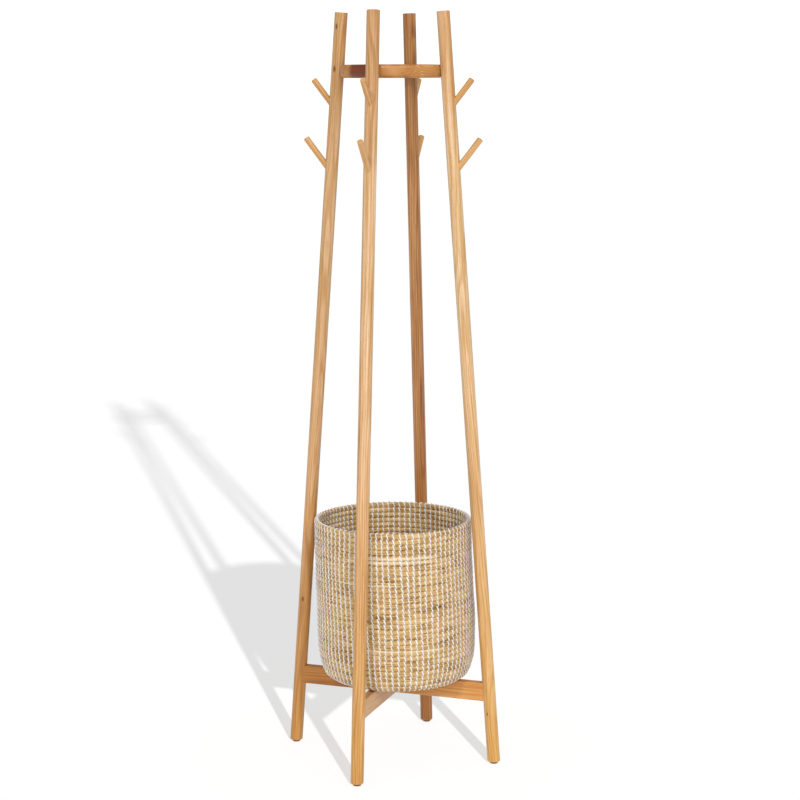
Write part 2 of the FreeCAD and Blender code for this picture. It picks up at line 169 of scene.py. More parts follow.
def add_node(tree, kind, settings=None, links=None):
    """Adds one node. An input takes another node's output, or a plain value."""
    node = tree.nodes.new("ShaderNode" + kind)
    for key, value in (settings or {}).items():
        if key == "stops":
            stops = node.color_ramp.elements
            stops.remove(stops[1])
            stops[0].position, stops[0].color = value[0]
            for position, colour in value[1:]:
                stops.new(position).color = colour
        else:
            setattr(node, key, value)
    for key, value in (links or {}).items():
        if isinstance(value, bpy.types.NodeSocket):
            tree.links.new(value, node.inputs[key])
        else:
            node.inputs[key].default_value = value
    return node


def new_material(name):
    """A material with its output and shader, and the place on the piece."""
    finish = bpy.data.materials.new(name)
    finish.use_nodes = True
    tree = finish.node_tree
    tree.nodes.clear()
    shader = add_node(tree, "BsdfPrincipled")
    add_node(tree, "OutputMaterial", links={"Surface": shader.outputs["BSDF"]})
    return finish, tree, shader, add_node(tree, "TexCoord").outputs["Object"]


def give(finish, *names):
    """Puts a finish on CAD nodes."""
    for name in names:
        for slot in NODES[name].material_slots:
            slot.material = finish


def tint_along(tree, place, colour, tint):
    """Multiplies a colour by a ramp along a line, darker in some stretches than in
    others; it carries the painted shade at the leg heads and on the left of the cross
    bar. A tint is the line that it changes along, where it starts, and its stops."""
    way, start, stops = tint
    share = add_node(tree, "VectorMath", {"operation": "DOT_PRODUCT"}, {
        0: place, 1: way}).outputs["Value"]
    share = add_node(tree, "Math", {"operation": "ADD"}, {
        0: share, 1: start}).outputs[0]
    shade = add_node(tree, "ValToRGB", {"stops": stops}, {
        "Fac": share}).outputs["Color"]
    return add_node(tree, "Mix", {"data_type": "RGBA", "blend_type": "MULTIPLY"}, {
        0: 1.0, 6: colour, 7: shade}).outputs[2]


def darker_ring_end(tree, place, colour):
    """Darkens a band across the ring panel near one end of its grain."""
    across = add_node(tree, "VectorMath", {"operation": "DOT_PRODUCT"}, {
        0: place, 1: RING_ACROSS}).outputs["Value"]
    across = add_node(tree, "Math", {"operation": "SUBTRACT"}, {
        0: across, 1: 0.012}).outputs[0]
    across = add_node(tree, "Math", {"operation": "ABSOLUTE"}, {
        0: across}).outputs[0]
    board = add_node(tree, "MapRange", {"interpolation_type": "SMOOTHSTEP"}, {
        "Value": across, "From Min": 0.044, "From Max": 0.020,
        "To Min": 0.0, "To Max": 1.0}).outputs[0]
    end = add_node(tree, "VectorMath", {"operation": "DOT_PRODUCT"}, {
        0: place, 1: [-part for part in RING_GRAIN]}).outputs["Value"]
    end = add_node(tree, "MapRange", {"interpolation_type": "SMOOTHSTEP"}, {
        "Value": end, "From Min": 0.085, "From Max": 0.112,
        "To Min": 0.0, "To Max": 0.97}).outputs[0]
    end = add_node(tree, "Math", {"operation": "MULTIPLY"}, {
        0: end, 1: board}).outputs[0]
    return add_node(tree, "Mix", {"data_type": "RGBA"}, {
        0: end, 6: colour, 7: linear("#682C06")}).outputs[2]


def pin_knot(tree, place, colour, centre, size):
    """A pin knot: a dark eye, longer along the grain than it is wide."""
    gap = add_node(tree, "VectorMath", {"operation": "SUBTRACT"}, {
        0: place, 1: centre}).outputs[0]
    gap = add_node(tree, "VectorMath", {"operation": "MULTIPLY"}, {
        0: gap, 1: (1.0, 1.0, 0.45)}).outputs[0]
    gap = add_node(tree, "VectorMath", {"operation": "LENGTH"}, {
        0: gap}).outputs["Value"]
    eye = add_node(tree, "MapRange", {"interpolation_type": "SMOOTHSTEP"}, {
        "Value": gap, "From Min": size, "From Max": 0.25 * size,
        "To Min": 0.0, "To Max": 0.8}).outputs[0]
    return add_node(tree, "Mix", {"data_type": "RGBA"}, {
        0: eye, 6: colour, 7: linear("#4A2410")}).outputs[2]


def mottle(tree, shader, spots, colour, tones, rough, bump):
    """Lets a fine noise vary a surface's tone, roughness and height."""
    tone = add_node(tree, "MapRange", None, {
        "Value": spots, "From Min": 0.3, "From Max": 0.7,
        "To Min": tones[0], "To Max": tones[1]}).outputs[0]
    shade = add_node(tree, "VectorMath", {"operation": "SCALE"}, {
        0: tuple(colour), "Scale": tone}).outputs[0]
    tree.links.new(shade, shader.inputs["Base Color"])
    gloss = add_node(tree, "MapRange", None, {
        "Value": spots, "From Min": 0.3, "From Max": 0.7,
        "To Min": rough[0], "To Max": rough[1]}).outputs[0]
    tree.links.new(gloss, shader.inputs["Roughness"])
    height = add_node(tree, "Bump", None, {
        "Height": spots, "Strength": bump[0], "Distance": bump[1]}).outputs[0]
    tree.links.new(height, shader.inputs["Normal"])


def oak_material(name, along, through, tones, seed, pith=(0.021, 0.012), knots=(),
                 tint=None, panel=False):
    """Oiled European oak, sawn and turned: golden brown, with long ring-porous
    streaks that follow the piece, dark pores and broad changes of tone. It is a
    solid pattern, so end faces show the rings as arcs."""
    oak = bpy.context.scene.coat_rack_oak
    finish, tree, shader, place = new_material(name)
    turn = Vector((0, 0, 1)).rotation_difference(Vector(along).normalized())
    heart = Vector(through) + turn @ Vector((*pith, 3.7 * seed))
    grain = add_node(tree, "Mapping", {"vector_type": "TEXTURE"}, {
        "Vector": place, "Location": heart, "Rotation": turn.to_euler()}).outputs[0]

    # The trunk is never straight: the rings wander a few millimetres along it.
    stretched = add_node(tree, "VectorMath", {"operation": "MULTIPLY"}, {
        0: grain, 1: (9.0, 9.0, 1.6)}).outputs[0]
    wander = add_node(tree, "TexNoise", None, {
        "Vector": stretched, "Scale": 1.0, "Detail": 2.0}).outputs["Color"]
    bent = add_node(tree, "VectorMath", {"operation": "MULTIPLY_ADD"}, {
        0: wander, 1: (0.030, 0.030, 0.0), 2: grain}).outputs[0]
    flat = add_node(tree, "VectorMath", {"operation": "MULTIPLY"}, {
        0: bent, 1: (1.0, 1.0, 0.0)}).outputs[0]
    radius = add_node(tree, "VectorMath", {"operation": "LENGTH"}, {
        0: flat}).outputs["Value"]
    years = add_node(tree, "Math", {"operation": "DIVIDE"}, {
        0: radius, 1: oak.ring_width}).outputs[0]
    season = add_node(tree, "Math", {"operation": "FRACT"}, {0: years}).outputs[0]
    # Open pores of spring wood first, then denser and paler summer wood.
    ring = add_node(tree, "ValToRGB", {"stops": [
        (0.0, (0.30, 0.30, 0.30, 1)), (0.16, (0.10, 0.10, 0.10, 1)),
        (0.42, (0.62, 0.62, 0.62, 1)), (0.85, (0.80, 0.80, 0.80, 1)),
        (1.0, (0.34, 0.34, 0.34, 1))]}, {"Fac": season}).outputs["Color"]

    # Fine streaks. Real oak vessels are 0.3 mm wide, too fine to show, so these
    # are drawn as the bundles of them that the eye picks out.
    fine = 1 / oak.streak_width
    fibres_at = add_node(tree, "VectorMath", {"operation": "MULTIPLY"}, {
        0: grain, 1: (fine, fine, 1 / oak.streak_length)}).outputs[0]
    fibres = add_node(tree, "TexNoise", None, {
        "Vector": fibres_at, "Scale": 1.0, "Detail": 4.0, "Roughness": 0.6,
        "Distortion": 0.25}).outputs["Fac"]
    pores_at = add_node(tree, "VectorMath", {"operation": "MULTIPLY"}, {
        0: grain, 1: (1 / 0.0013, 1 / 0.0013, 1 / 0.022)}).outputs[0]
    pores = add_node(tree, "TexNoise", None, {
        "Vector": pores_at, "Scale": 1.0, "Detail": 2.0}).outputs["Fac"]
    pore_dark = add_node(tree, "MapRange", {"interpolation_type": "SMOOTHSTEP"}, {
        "Value": pores, "From Min": 0.40, "From Max": 0.30,
        "To Min": 0.0, "To Max": 1.0}).outputs[0]
    broad_at = add_node(tree, "VectorMath", {"operation": "MULTIPLY"}, {
        0: grain, 1: (1 / 0.017, 1 / 0.017, 1 / 0.42)}).outputs[0]
    broad = add_node(tree, "TexNoise", None, {
        "Vector": broad_at, "Scale": 1.0, "Detail": 2.0}).outputs["Fac"]

    mixed = add_node(tree, "Math", {"operation": "MULTIPLY_ADD"}, {
        0: ring, 1: 0.36, 2: -0.20}).outputs[0]
    mixed = add_node(tree, "Math", {"operation": "MULTIPLY_ADD"}, {
        0: fibres, 1: 0.80, 2: mixed}).outputs[0]
    mixed = add_node(tree, "Math", {"operation": "MULTIPLY_ADD"}, {
        0: broad, 1: 0.62, 2: mixed}).outputs[0]
    colour = add_node(tree, "ValToRGB", {"stops": [
        (0.30, linear(tones[0])), (0.66, linear(tones[1])),
        (1.0, linear(tones[2]))]}, {"Fac": mixed}).outputs["Color"]
    if tint:
        colour = tint_along(tree, place, colour, tint)
    if panel:
        colour = darker_ring_end(tree, place, colour)
    deep = add_node(tree, "Math", {"operation": "MULTIPLY"}, {
        0: pore_dark, 1: 0.30}).outputs[0]
    colour = add_node(tree, "Mix", {"data_type": "RGBA"}, {
        0: deep, 6: colour, 7: linear("#8A5526")}).outputs[2]
    for centre, size in knots:
        colour = pin_knot(tree, place, colour, centre, size)
    tree.links.new(colour, shader.inputs["Base Color"])

    rough = add_node(tree, "MapRange", None, {
        "Value": fibres, "From Min": 0.3, "From Max": 0.7,
        "To Min": oak.roughness + 0.08, "To Max": oak.roughness - 0.06}).outputs[0]
    tree.links.new(rough, shader.inputs["Roughness"])
    height = add_node(tree, "Math", {"operation": "SUBTRACT"}, {
        0: fibres, 1: pore_dark}).outputs[0]
    bump = add_node(tree, "Bump", None, {
        "Height": height, "Strength": 0.25, "Distance": 0.0004}).outputs[0]
    tree.links.new(bump, shader.inputs["Normal"])
    return finish


class COATRACK_OT_oak(bpy.types.Operator):
    """Finish the legs, pegs, top ring and cross bars in oiled oak"""
    bl_idname = "coatrack.oak"
    bl_label = "Oak"

    # Dark, middle and light tones of each leg. The differences between the legs are
    # partly the boards' own tones and partly painted shade.
    LEG_TONES = {
        "right": ("#A3733A", "#C7A16F", "#DFC7AB"),
        "back": ("#66350D", "#A26D38", "#C79865"),
        "left": ("#9B6A33", "#BC9260", "#D6B390"),
        "front": ("#9A6830", "#C39A69", "#DEC3A6"),
    }
    # How much darker each leg's head is painted than its middle: painted shade on the
    # upper legs.
    HEAD_SHADE = {
        "right": (0.90, 0.78, 0.67, 1), "back": (0.81, 0.76, 0.61, 1),
        "left": (0.93, 0.88, 0.77, 1), "front": (0.78, 0.65, 0.49, 1),
    }
    # Pin knots: height, heading round the leg in degrees, and radius.
    KNOTS = {
        "left": ((1.718, -106, 0.0048), (1.622, -101, 0.0052), (0.362, -91, 0.0042),
                 (1.05, 150, 0.0045)),
        "right": ((0.122, -104, 0.0030), (0.88, 35, 0.0045)),
        "back": ((1.31, 80, 0.0046), (0.52, 20, 0.0040)),
    }
    PEG_TONES = ("#9F672D", "#C18E50", "#D5AF7B")

    def execute(self, context):
        for number, side in enumerate(SIDES):
            foot, head = leg_line(side)
            axis = (head - foot).normalized()
            knots, skin = [], 0.0148
            for height, angle, size in self.KNOTS.get(side, ()):
                share = (height - foot.z) / (head.z - foot.z)
                out = Vector((math.cos(math.radians(angle)),
                              math.sin(math.radians(angle)), 0)) * skin
                knots.append((foot.lerp(head, share) + out, size))
            # Along each leg: darker and more orange towards the foot, plain in the
            # middle, and painted shade at the head.
            stops = ((0.03, (0.86, 0.67, 0.30, 1)), (0.40, (0.97, 0.87, 0.75, 1)),
                     (0.68, (1.0, 1.0, 1.0, 1)), (0.80, (1.0, 0.97, 0.92, 1)),
                     (0.95, self.HEAD_SHADE[side]))
            give(oak_material("oiled oak, %s leg" % side, axis, foot,
                              self.LEG_TONES[side], 1 + number, knots=knots,
                              tint=((0, 0, 1 / head.z), 0.0, stops)),
                 "leg_" + side)
            for level, name in enumerate(("upper_peg_", "lower_peg_")):
                give(oak_material("oiled oak, %s%s" % (name.replace("_", " "), side),
                                  peg_axis(name + side), middle_of(name + side),
                                  self.PEG_TONES, 11 + number + 5 * level,
                                  pith=(0.013, 0.009)), name + side)
        give(oak_material("oiled oak, ring panel", RING_GRAIN, middle_of("top_ring"),
                          ("#7C4310", "#A86E2F", "#C79459"), 23,
                          pith=(0.020, 0.140), panel=True), "top_ring")
        # The left half of the left-right bar is painted darker: painted shade where the
        # basket's shadow falls on it.
        basket_shadow_on_left = ((2.0, 0, 0), 0.5, ((0.32, (0.70, 0.61, 0.33, 1)),
                                          (0.66, (1.0, 1.0, 1.0, 1))))
        for name, along, seed, tones, tint in (
                ("cross_bar_left_right", (1, 0, 0), 31,
                 ("#9B5D21", "#BD803D", "#D29B5C"), basket_shadow_on_left),
                ("cross_bar_front_back", (0, 1, 0), 37,
                 ("#A06E3C", "#C0915D", "#D4AD83"), None)):
            give(oak_material("oiled oak, " + name.replace("_", " "), along,
                              middle_of(name), tones, seed, pith=(0.030, 0.045),
                              tint=tint),
                 name)
        return {"FINISHED"}


def leg_line(side):
    """The foot and the head of a leg's centre line, from its CAD box."""
    low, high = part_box("leg_" + side)
    spread = {"right": (1, 0), "back": (0, 1), "left": (-1, 0), "front": (0, -1)}[side]
    way = Vector((*spread, 0))
    far = max(abs(low.dot(way)), abs(high.dot(way))) - LEG_RADIUS
    near = min(abs(low.dot(way)), abs(high.dot(way))) + LEG_RADIUS
    return way * far + Vector((0, 0, low.z)), way * near + Vector((0, 0, high.z))


def middle_of(name):
    """The middle of a CAD node's box."""
    low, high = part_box(name)
    return (low + high) / 2


def peg_axis(name):
    """The direction that a peg leans, outwards and up."""
    middle = middle_of(name)
    out = Vector((middle.x, middle.y, 0)).normalized()
    lean = math.radians(PEG_LEAN)
    return out * math.sin(lean) + Vector((0, 0, math.cos(lean)))


class COATRACK_OT_glides(bpy.types.Operator):
    """Finish the four glides under the legs"""
    bl_idname = "coatrack.glides"
    bl_label = "Glides"

    def execute(self, context):
        colour = context.scene.coat_rack_fittings.glide_colour
        # Moulded polyethylene: matt dark brown, with the faint grain of the mould.
        finish, tree, shader, place = new_material("brown moulded polyethylene")
        grain = add_node(tree, "TexNoise", None, {
            "Vector": place, "Scale": 1 / 0.0015, "Detail": 3.0}).outputs["Fac"]
        mottle(tree, shader, grain, colour, tones=(0.78, 1.22), rough=(0.46, 0.60),
               bump=(0.3, 0.0002))
        give(finish, *("glide_" + side for side in SIDES))
        return {"FINISHED"}


class COATRACK_OT_hardware(bpy.types.Operator):
    """Finish the bolts, washers, nut, nails and inserts"""
    bl_idname = "coatrack.hardware"
    bl_label = "Hardware"

    def execute(self, context):
        fittings = context.scene.coat_rack_fittings
        for name, colour, rough, nodes in (
                # Zinc-plated steel: grey-blue, with the soft mottle of the plating.
                ("zinc-plated steel", fittings.zinc, (0.24, 0.42),
                 ("ring_bolts", "ring_washers", "cross_bolt", "cross_washer",
                  "cross_nut", "glide_nails")),
                # Turned brass, a little dulled by handling.
                ("turned brass", fittings.brass, (0.26, 0.46), ("leg_inserts",))):
            finish, tree, shader, place = new_material(name)
            spots = add_node(tree, "TexNoise", None, {
                "Vector": place, "Scale": 1 / 0.002, "Detail": 4.0,
                "Roughness": 0.7}).outputs["Fac"]
            mottle(tree, shader, spots, colour, tones=(0.86, 1.06), rough=rough,
                   bump=(0.1, 0.0001))
            shader.inputs["Metallic"].default_value = 1.0
            give(finish, *nodes)
        return {"FINISHED"}


# ---------------------------------------------------------------- basket


def basket_rows(basket):
    """Radius, height and outward tilt of each coil, from the rim to the middle of
    the base: a straight wall, a long curve in, a rounded corner and a flat base."""
    wall_inset, floor_thickness, rim_drop = 0.0068, 0.006, 0.0026
    wall = BASKET_HIGH.x - wall_inset
    floor = BASKET_LOW.z + floor_thickness
    top = BASKET_HIGH.z - basket.bundle_height / 2 - rim_drop
    belly, corner = 0.200, 0.026
    belly_z = BASKET_LOW.z + 0.087
    corner_r, corner_z = 0.1461, BASKET_LOW.z + 0.032
    turned = math.atan2(belly_z - corner_z, corner_r - (wall - belly))
    lengths = (top - belly_z, belly * turned, corner * (math.pi / 2 - turned), corner_r)
    pitch = sum(lengths) / (basket.rows - 0.5)
    rows = []
    for number in range(basket.rows):
        s = number * pitch
        if s < lengths[0]:
            rows.append((wall, top - s, 0.0))
            continue
        s -= lengths[0]
        if s < lengths[1]:
            a = s / belly
            rows.append((wall - belly + belly * math.cos(a),
                         belly_z - belly * math.sin(a), a))
            continue
        s -= lengths[1]
        if s < lengths[2]:
            a = turned + s / corner
            rows.append((corner_r + corner * math.cos(a),
                         corner_z - corner * math.sin(a), a))
            continue
        s -= lengths[2]
        rows.append((corner_r - s, floor, math.pi / 2))
    return rows


def row_place(row):
    """Turns a bundle drawn at the origin, outside along X, into its row."""
    radius, height, tilt = row
    return Matrix.Translation((radius, 0, height)) @ Matrix.Rotation(tilt, 4, "Y")


def by_hand(point, basket, wander=0.0):
    """Moves a point as the maker's hand did: rows that rise and dip, a wall that
    is not quite round, stitches out of line, and a base set to one side."""
    # How far a row dips, the wall dents and bulges, and its ends settle.
    dip, dent, bulge, settled = 0.0016, 0.0016, 0.0018, 0.0003
    radius, angle = math.hypot(point.x, point.y), math.atan2(point.y, point.x)
    drop = (BASKET_HIGH.z - point.z) / (BASKET_HIGH.z - BASKET_LOW.z)
    loose = min(1.0, 4.0 * max(0.0, drop)) * min(1.0, 6.0 * max(0.0, 1.0 - drop))
    along = Vector((1.6 * math.cos(angle), 1.6 * math.sin(angle), 9.0 * point.z))
    rise = dip * noise.noise(along) * loose
    swell = dent * noise.noise(along * 1.7 + Vector((7, 3, 5))) * loose
    drop = min(1.0, max(0.0, drop))
    aside = min(1.0, drop / 0.85)
    aside *= aside * (3.0 - 2.0 * aside)
    if radius > 0.01:
        swell += bulge * math.sin(math.pi * drop ** 1.6) * radius / 0.187
        swell -= settled * (1.0 - loose)
        turn = wander / radius * (
            noise.noise(Vector((2.6 * math.cos(angle), 2.6 * math.sin(angle),
                                7.0 * point.z)) + Vector((0, 9, 2)))
            + 0.35 * noise.noise(Vector((30 * angle, 80 * point.z, 3.0))))
        radius, angle = radius + swell, angle + turn
    return Vector((radius * math.cos(angle) + basket.lean[0] * aside,
                   radius * math.sin(angle) + basket.lean[1] * aside,
                   point.z + rise))


def add_to(bm, one):
    """Adds a finished row to the piece that it belongs to."""
    held = bpy.data.meshes.new("row")
    one.to_mesh(held)
    one.free()
    bm.from_mesh(held)
    bpy.data.meshes.remove(held)


def make_piece(bm, name, finish):
    """A finished piece of the basket from its bmesh."""
    bmesh.ops.recalc_face_normals(bm, faces=bm.faces)
    for face in bm.faces:
        face.smooth = True
    mesh = bpy.data.meshes.new(name)
    bm.to_mesh(mesh)
    bm.free()
    piece = bpy.data.objects.new(name, mesh)
    bpy.context.scene.collection.objects.link(piece)
    mesh.materials.append(finish)
    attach(piece, "basket")
    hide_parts("basket")
    return piece


def seagrass_material():
    """Dried, twisted seagrass: straw to tan blades a few millimetres wide that run
    along the coil, some bleached, some brown, dull with a slight waxy gloss."""
    basket = bpy.context.scene.coat_rack_basket
    finish, tree, shader, place = new_material("dried seagrass coil")
    split = add_node(tree, "SeparateXYZ", None, {0: place})
    ground = add_node(tree, "CombineXYZ", None, {
        0: split.outputs[0], 1: split.outputs[1]}).outputs[0]
    radius = add_node(tree, "VectorMath", {"operation": "LENGTH"}, {
        0: ground}).outputs["Value"]

    # Blades: 2 mm across the coil and about 60 mm along it.
    blades_at = add_node(tree, "VectorMath", {"operation": "MULTIPLY"}, {
        0: place, 1: (1 / 0.035, 1 / 0.035, 1 / 0.0020)}).outputs[0]
    blades_w = add_node(tree, "Math", {"operation": "DIVIDE"}, {
        0: radius, 1: 0.0026}).outputs[0]
    blades = add_node(tree, "TexNoise", {"noise_dimensions": "4D"}, {
        "Vector": blades_at, "W": blades_w, "Scale": 1.0, "Detail": 3.0,
        "Roughness": 0.6, "Distortion": 0.3}).outputs["Fac"]
    # Each bundle is fed with new blades, so its tone changes along a row.
    bundles_at = add_node(tree, "VectorMath", {"operation": "MULTIPLY"}, {
        0: place, 1: (1 / 0.090, 1 / 0.090, 1 / 0.013)}).outputs[0]
    bundles = add_node(tree, "TexNoise", {"noise_dimensions": "4D"}, {
        "Vector": bundles_at, "W": add_node(tree, "Math", {"operation": "DIVIDE"}, {
            0: radius, 1: 0.030}).outputs[0],
        "Scale": 1.0, "Detail": 1.0}).outputs["Fac"]
    mixed = add_node(tree, "Math", {"operation": "MULTIPLY_ADD"}, {
        0: bundles, 1: 0.42, 2: -0.21}).outputs[0]
    mixed = add_node(tree, "Math", {"operation": "ADD"}, {
        0: mixed, 1: blades}).outputs[0]
    straw = (*basket.straw, 1.0)
    colour = add_node(tree, "ValToRGB", {"stops": [
        (0.26, linear("#503613")), (0.40, linear("#96733B")),
        (0.52, straw), (0.68, linear("#CEB07C")),
        (0.88, linear("#EDDBB2"))]}, {"Fac": mixed}).outputs["Color"]
    # Some stretches keep a trace of green.
    green_at = add_node(tree, "VectorMath", {"operation": "MULTIPLY"}, {
        0: place, 1: (1 / 0.12, 1 / 0.12, 1 / 0.025)}).outputs[0]
    green = add_node(tree, "TexNoise", None, {
        "Vector": green_at, "Scale": 1.0, "Detail": 1.0}).outputs["Fac"]
    green = add_node(tree, "MapRange", {"interpolation_type": "SMOOTHSTEP"}, {
        "Value": green, "From Min": 0.50, "From Max": 0.75,
        "To Min": 0.0, "To Max": 0.30}).outputs[0]
    colour = add_node(tree, "Mix", {"data_type": "RGBA"}, {
        0: green, 6: colour, 7: linear("#B39C58")}).outputs[2]
    # Bleached blades laid on the outside of a few rows.
    for height, reach, facing in ((0.5170, 0.0030, (0.36, -0.93)),
                                  (0.5075, 0.0025, (0.30, -0.95)),
                                  (0.4530, 0.0016, (0.02, -1.0)),
                                  (0.3000, 0.0016, (0.45, -0.9)),
                                  (0.4300, 0.0018, (-0.8, 0.6)),
                                  (0.3400, 0.0018, (0.6, 0.8))):
        gap = add_node(tree, "Math", {"operation": "SUBTRACT"}, {
            0: split.outputs[2], 1: height}).outputs[0]
        gap = add_node(tree, "Math", {"operation": "ABSOLUTE"}, {0: gap}).outputs[0]
        band = add_node(tree, "MapRange", {"interpolation_type": "SMOOTHSTEP"}, {
            "Value": gap, "From Min": reach * 1.8, "From Max": reach * 0.6,
            "To Min": 0.0, "To Max": 1.0}).outputs[0]
        front = add_node(tree, "VectorMath", {"operation": "DOT_PRODUCT"}, {
            0: place, 1: (*facing, 0.0)}).outputs["Value"]
        ends = add_node(tree, "MapRange", {"interpolation_type": "SMOOTHSTEP"}, {
            "Value": front, "From Min": 0.150, "From Max": 0.172,
            "To Min": 0.0, "To Max": 0.42}).outputs[0]
        share = add_node(tree, "Math", {"operation": "MULTIPLY"}, {
            0: band, 1: ends}).outputs[0]
        colour = add_node(tree, "Mix", {"data_type": "RGBA"}, {
            0: share, 6: colour, 7: linear("#F2E2BF")}).outputs[2]
    # Broken brown ends that show as flecks.
    flecks_at = add_node(tree, "VectorMath", {"operation": "MULTIPLY"}, {
        0: place, 1: (1 / 0.006, 1 / 0.006, 1 / 0.0030)}).outputs[0]
    flecks = add_node(tree, "TexNoise", None, {
        "Vector": flecks_at, "Scale": 1.0, "Detail": 1.0}).outputs["Fac"]
    flecks = add_node(tree, "MapRange", {"interpolation_type": "SMOOTHSTEP"}, {
        "Value": flecks, "From Min": 0.31, "From Max": 0.24,
        "To Min": 0.0, "To Max": 0.8}).outputs[0]
    colour = add_node(tree, "Mix", {"data_type": "RGBA"}, {
        0: flecks, 6: colour, 7: linear("#4E2F14")}).outputs[2]
    tree.links.new(colour, shader.inputs["Base Color"])
    rough = add_node(tree, "MapRange", None, {
        "Value": blades, "From Min": 0.3, "From Max": 0.7,
        "To Min": 0.78, "To Max": 0.58}).outputs[0]
    tree.links.new(rough, shader.inputs["Roughness"])
    bump = add_node(tree, "Bump", None, {
        "Height": blades, "Strength": 0.9, "Distance": 0.0012}).outputs[0]
    tree.links.new(bump, shader.inputs["Normal"])
    return finish


def twine_material():
    """Twisted cotton-like twine: off-white, matt, with fine fibres across."""
    basket = bpy.context.scene.coat_rack_basket
    finish, tree, shader, place = new_material("twisted white twine")
    fuzz = add_node(tree, "TexNoise", None, {
        "Vector": place, "Scale": 1 / 0.0016, "Detail": 3.0}).outputs["Fac"]
    age = add_node(tree, "TexNoise", None, {
        "Vector": place, "Scale": 1 / 0.05, "Detail": 1.0}).outputs["Fac"]
    both = add_node(tree, "Math", {"operation": "MULTIPLY_ADD"}, {
        0: age, 1: 0.5, 2: fuzz}).outputs[0]
    tone = add_node(tree, "MapRange", None, {
        "Value": both, "From Min": 0.5, "From Max": 1.0,
        "To Min": 0.84, "To Max": 1.04}).outputs[0]
    tinted = add_node(tree, "VectorMath", {"operation": "SCALE"}, {
        0: tuple(basket.twine_colour), "Scale": tone}).outputs[0]
    tree.links.new(tinted, shader.inputs["Base Color"])
    shader.inputs["Roughness"].default_value = 0.85
    shader.inputs["Sheen Weight"].default_value = 0.2
    bump = add_node(tree, "Bump", None, {
        "Height": fuzz, "Strength": 0.5, "Distance": 0.0004}).outputs[0]
    tree.links.new(bump, shader.inputs["Normal"])
    return finish


class COATRACK_OT_basket_coils(bpy.types.Operator):
    """Coil the seagrass bundles of the basket, row on row"""
    bl_idname = "coatrack.basket_coils"
    bl_label = "Basket Coils"

    def execute(self, context):
        basket = context.scene.coat_rack_basket
        finish = seagrass_material()
        rows = basket_rows(basket)
        wall = [row for row in rows if row[2] < 1.5]
        for name, part in (("basket_wall_coils", wall),
                           ("basket_base_coils", rows[len(wall):])):
            bm = bmesh.new()
            for row in part:
                one = bmesh.new()
                bmesh.ops.create_circle(
                    one, cap_ends=True, segments=4,
                    radius=basket.bundle_height * 0.505 * math.sqrt(2),
                    matrix=Matrix.Rotation(math.pi / 4, 4, "Z"))
                bmesh.ops.bevel(one, geom=one.verts[:], affect="VERTICES",
                                offset=basket.bundle_height * 0.36,
                                segments=2, profile=0.5, material=-1)
                bmesh.ops.delete(one, geom=one.faces[:], context="FACES_ONLY")
                bmesh.ops.transform(
                    one, verts=one.verts[:], matrix=row_place(row)
                    @ Matrix.Diagonal((basket.bundle_depth / basket.bundle_height,
                                       1, 1, 1))
                    @ Matrix.Rotation(math.pi / 2, 4, "X"))
                bmesh.ops.spin(one, geom=one.verts[:] + one.edges[:], cent=(0, 0, 0),
                               axis=(0, 0, 1), angle=2 * math.pi,
                               steps=200 if row[0] > 0.1 else 96, use_merge=True)
                add_to(bm, one)
            for vert in bm.verts:
                vert.co = by_hand(vert.co, basket)
            make_piece(bm, name, finish)
        return {"FINISHED"}


def stitch(bm, basket, row, start, end, side_start, side_end, steps=5):
    """One stitch over a bundle, from one angle round it to another. Angles are
    degrees from the outside of the wall, and the sides are how far it has run."""
    thick, clear, sunk = basket.twine / 2, 0.0009, 0.05
    reach = basket.bundle_height / 2 + clear
    flat = Matrix.Diagonal(((basket.bundle_depth / 2 - sunk * thick) / reach, 1, 1, 1))
    place = row_place(row)
    a = math.radians(start)
    out = Vector((math.cos(a), 0, math.sin(a)))
    before = set(bm.verts)
    made = bmesh.ops.create_circle(
        bm, segments=5, radius=thick,
        matrix=Matrix.Translation(out * reach + Vector((0, side_start, 0)))
        @ Matrix.Rotation(-a, 4, "Y"))
    loop = list({edge for vert in made["verts"] for edge in vert.link_edges})
    bmesh.ops.spin(bm, geom=made["verts"] + loop, cent=(0, 0, 0), axis=(0, -1, 0),
                   angle=math.radians(end - start), steps=steps,
                   dvec=(0, (side_end - side_start) / steps, 0))
    verts = [vert for vert in bm.verts if vert not in before]
    edges = {edge for vert in verts for edge in vert.link_edges}
    bmesh.ops.holes_fill(bm, edges=[e for e in edges if e.is_boundary], sides=5)
    bmesh.ops.transform(bm, matrix=place @ flat, verts=verts)
    return verts


class COATRACK_OT_basket_stitches(bpy.types.Operator):
    """Sew the coils of the basket together with slanted stitches"""
    bl_idname = "coatrack.basket_stitches"
    bl_label = "Basket Stitches"

    def execute(self, context):
        basket = context.scene.coat_rack_basket
        finish = twine_material()
        rows = basket_rows(basket)
        half = basket.slant / 2
        for name, inside in (("basket_stitches_outside", False),
                             ("basket_stitches_inside", True)):
            bm = bmesh.new()
            for number, row in enumerate(rows):
                columns = basket.columns
                while columns > 8 and 2 * math.pi * row[0] / columns < 0.0075:
                    columns //= 2
                one = bmesh.new()
                if number == 0 and inside:
                    stitch(one, basket, row, 122, 258, half, -half)
                elif number == 0:
                    stitch(one, basket, row, -78, 60, half, -half)
                    stitch(one, basket, row, 58, 124, -half, half, steps=4)
                elif inside:
                    stitch(one, basket, row, 102, 258, half, -half)
                else:
                    stitch(one, basket, row, -78, 78, half, -half)
                geom = one.verts[:] + one.edges[:] + one.faces[:]
                bmesh.ops.spin(one, geom=geom, cent=(0, 0, 0), axis=(0, 0, 1),
                               angle=2 * math.pi * (columns - 1) / columns,
                               steps=columns - 1, use_duplicate=True)
                add_to(bm, one)
            for vert in bm.verts:
                vert.co = by_hand(vert.co, basket, wander=0.0045)
            make_piece(bm, name, finish)
        return {"FINISHED"}


# ---------------------------------------------------------------- studio


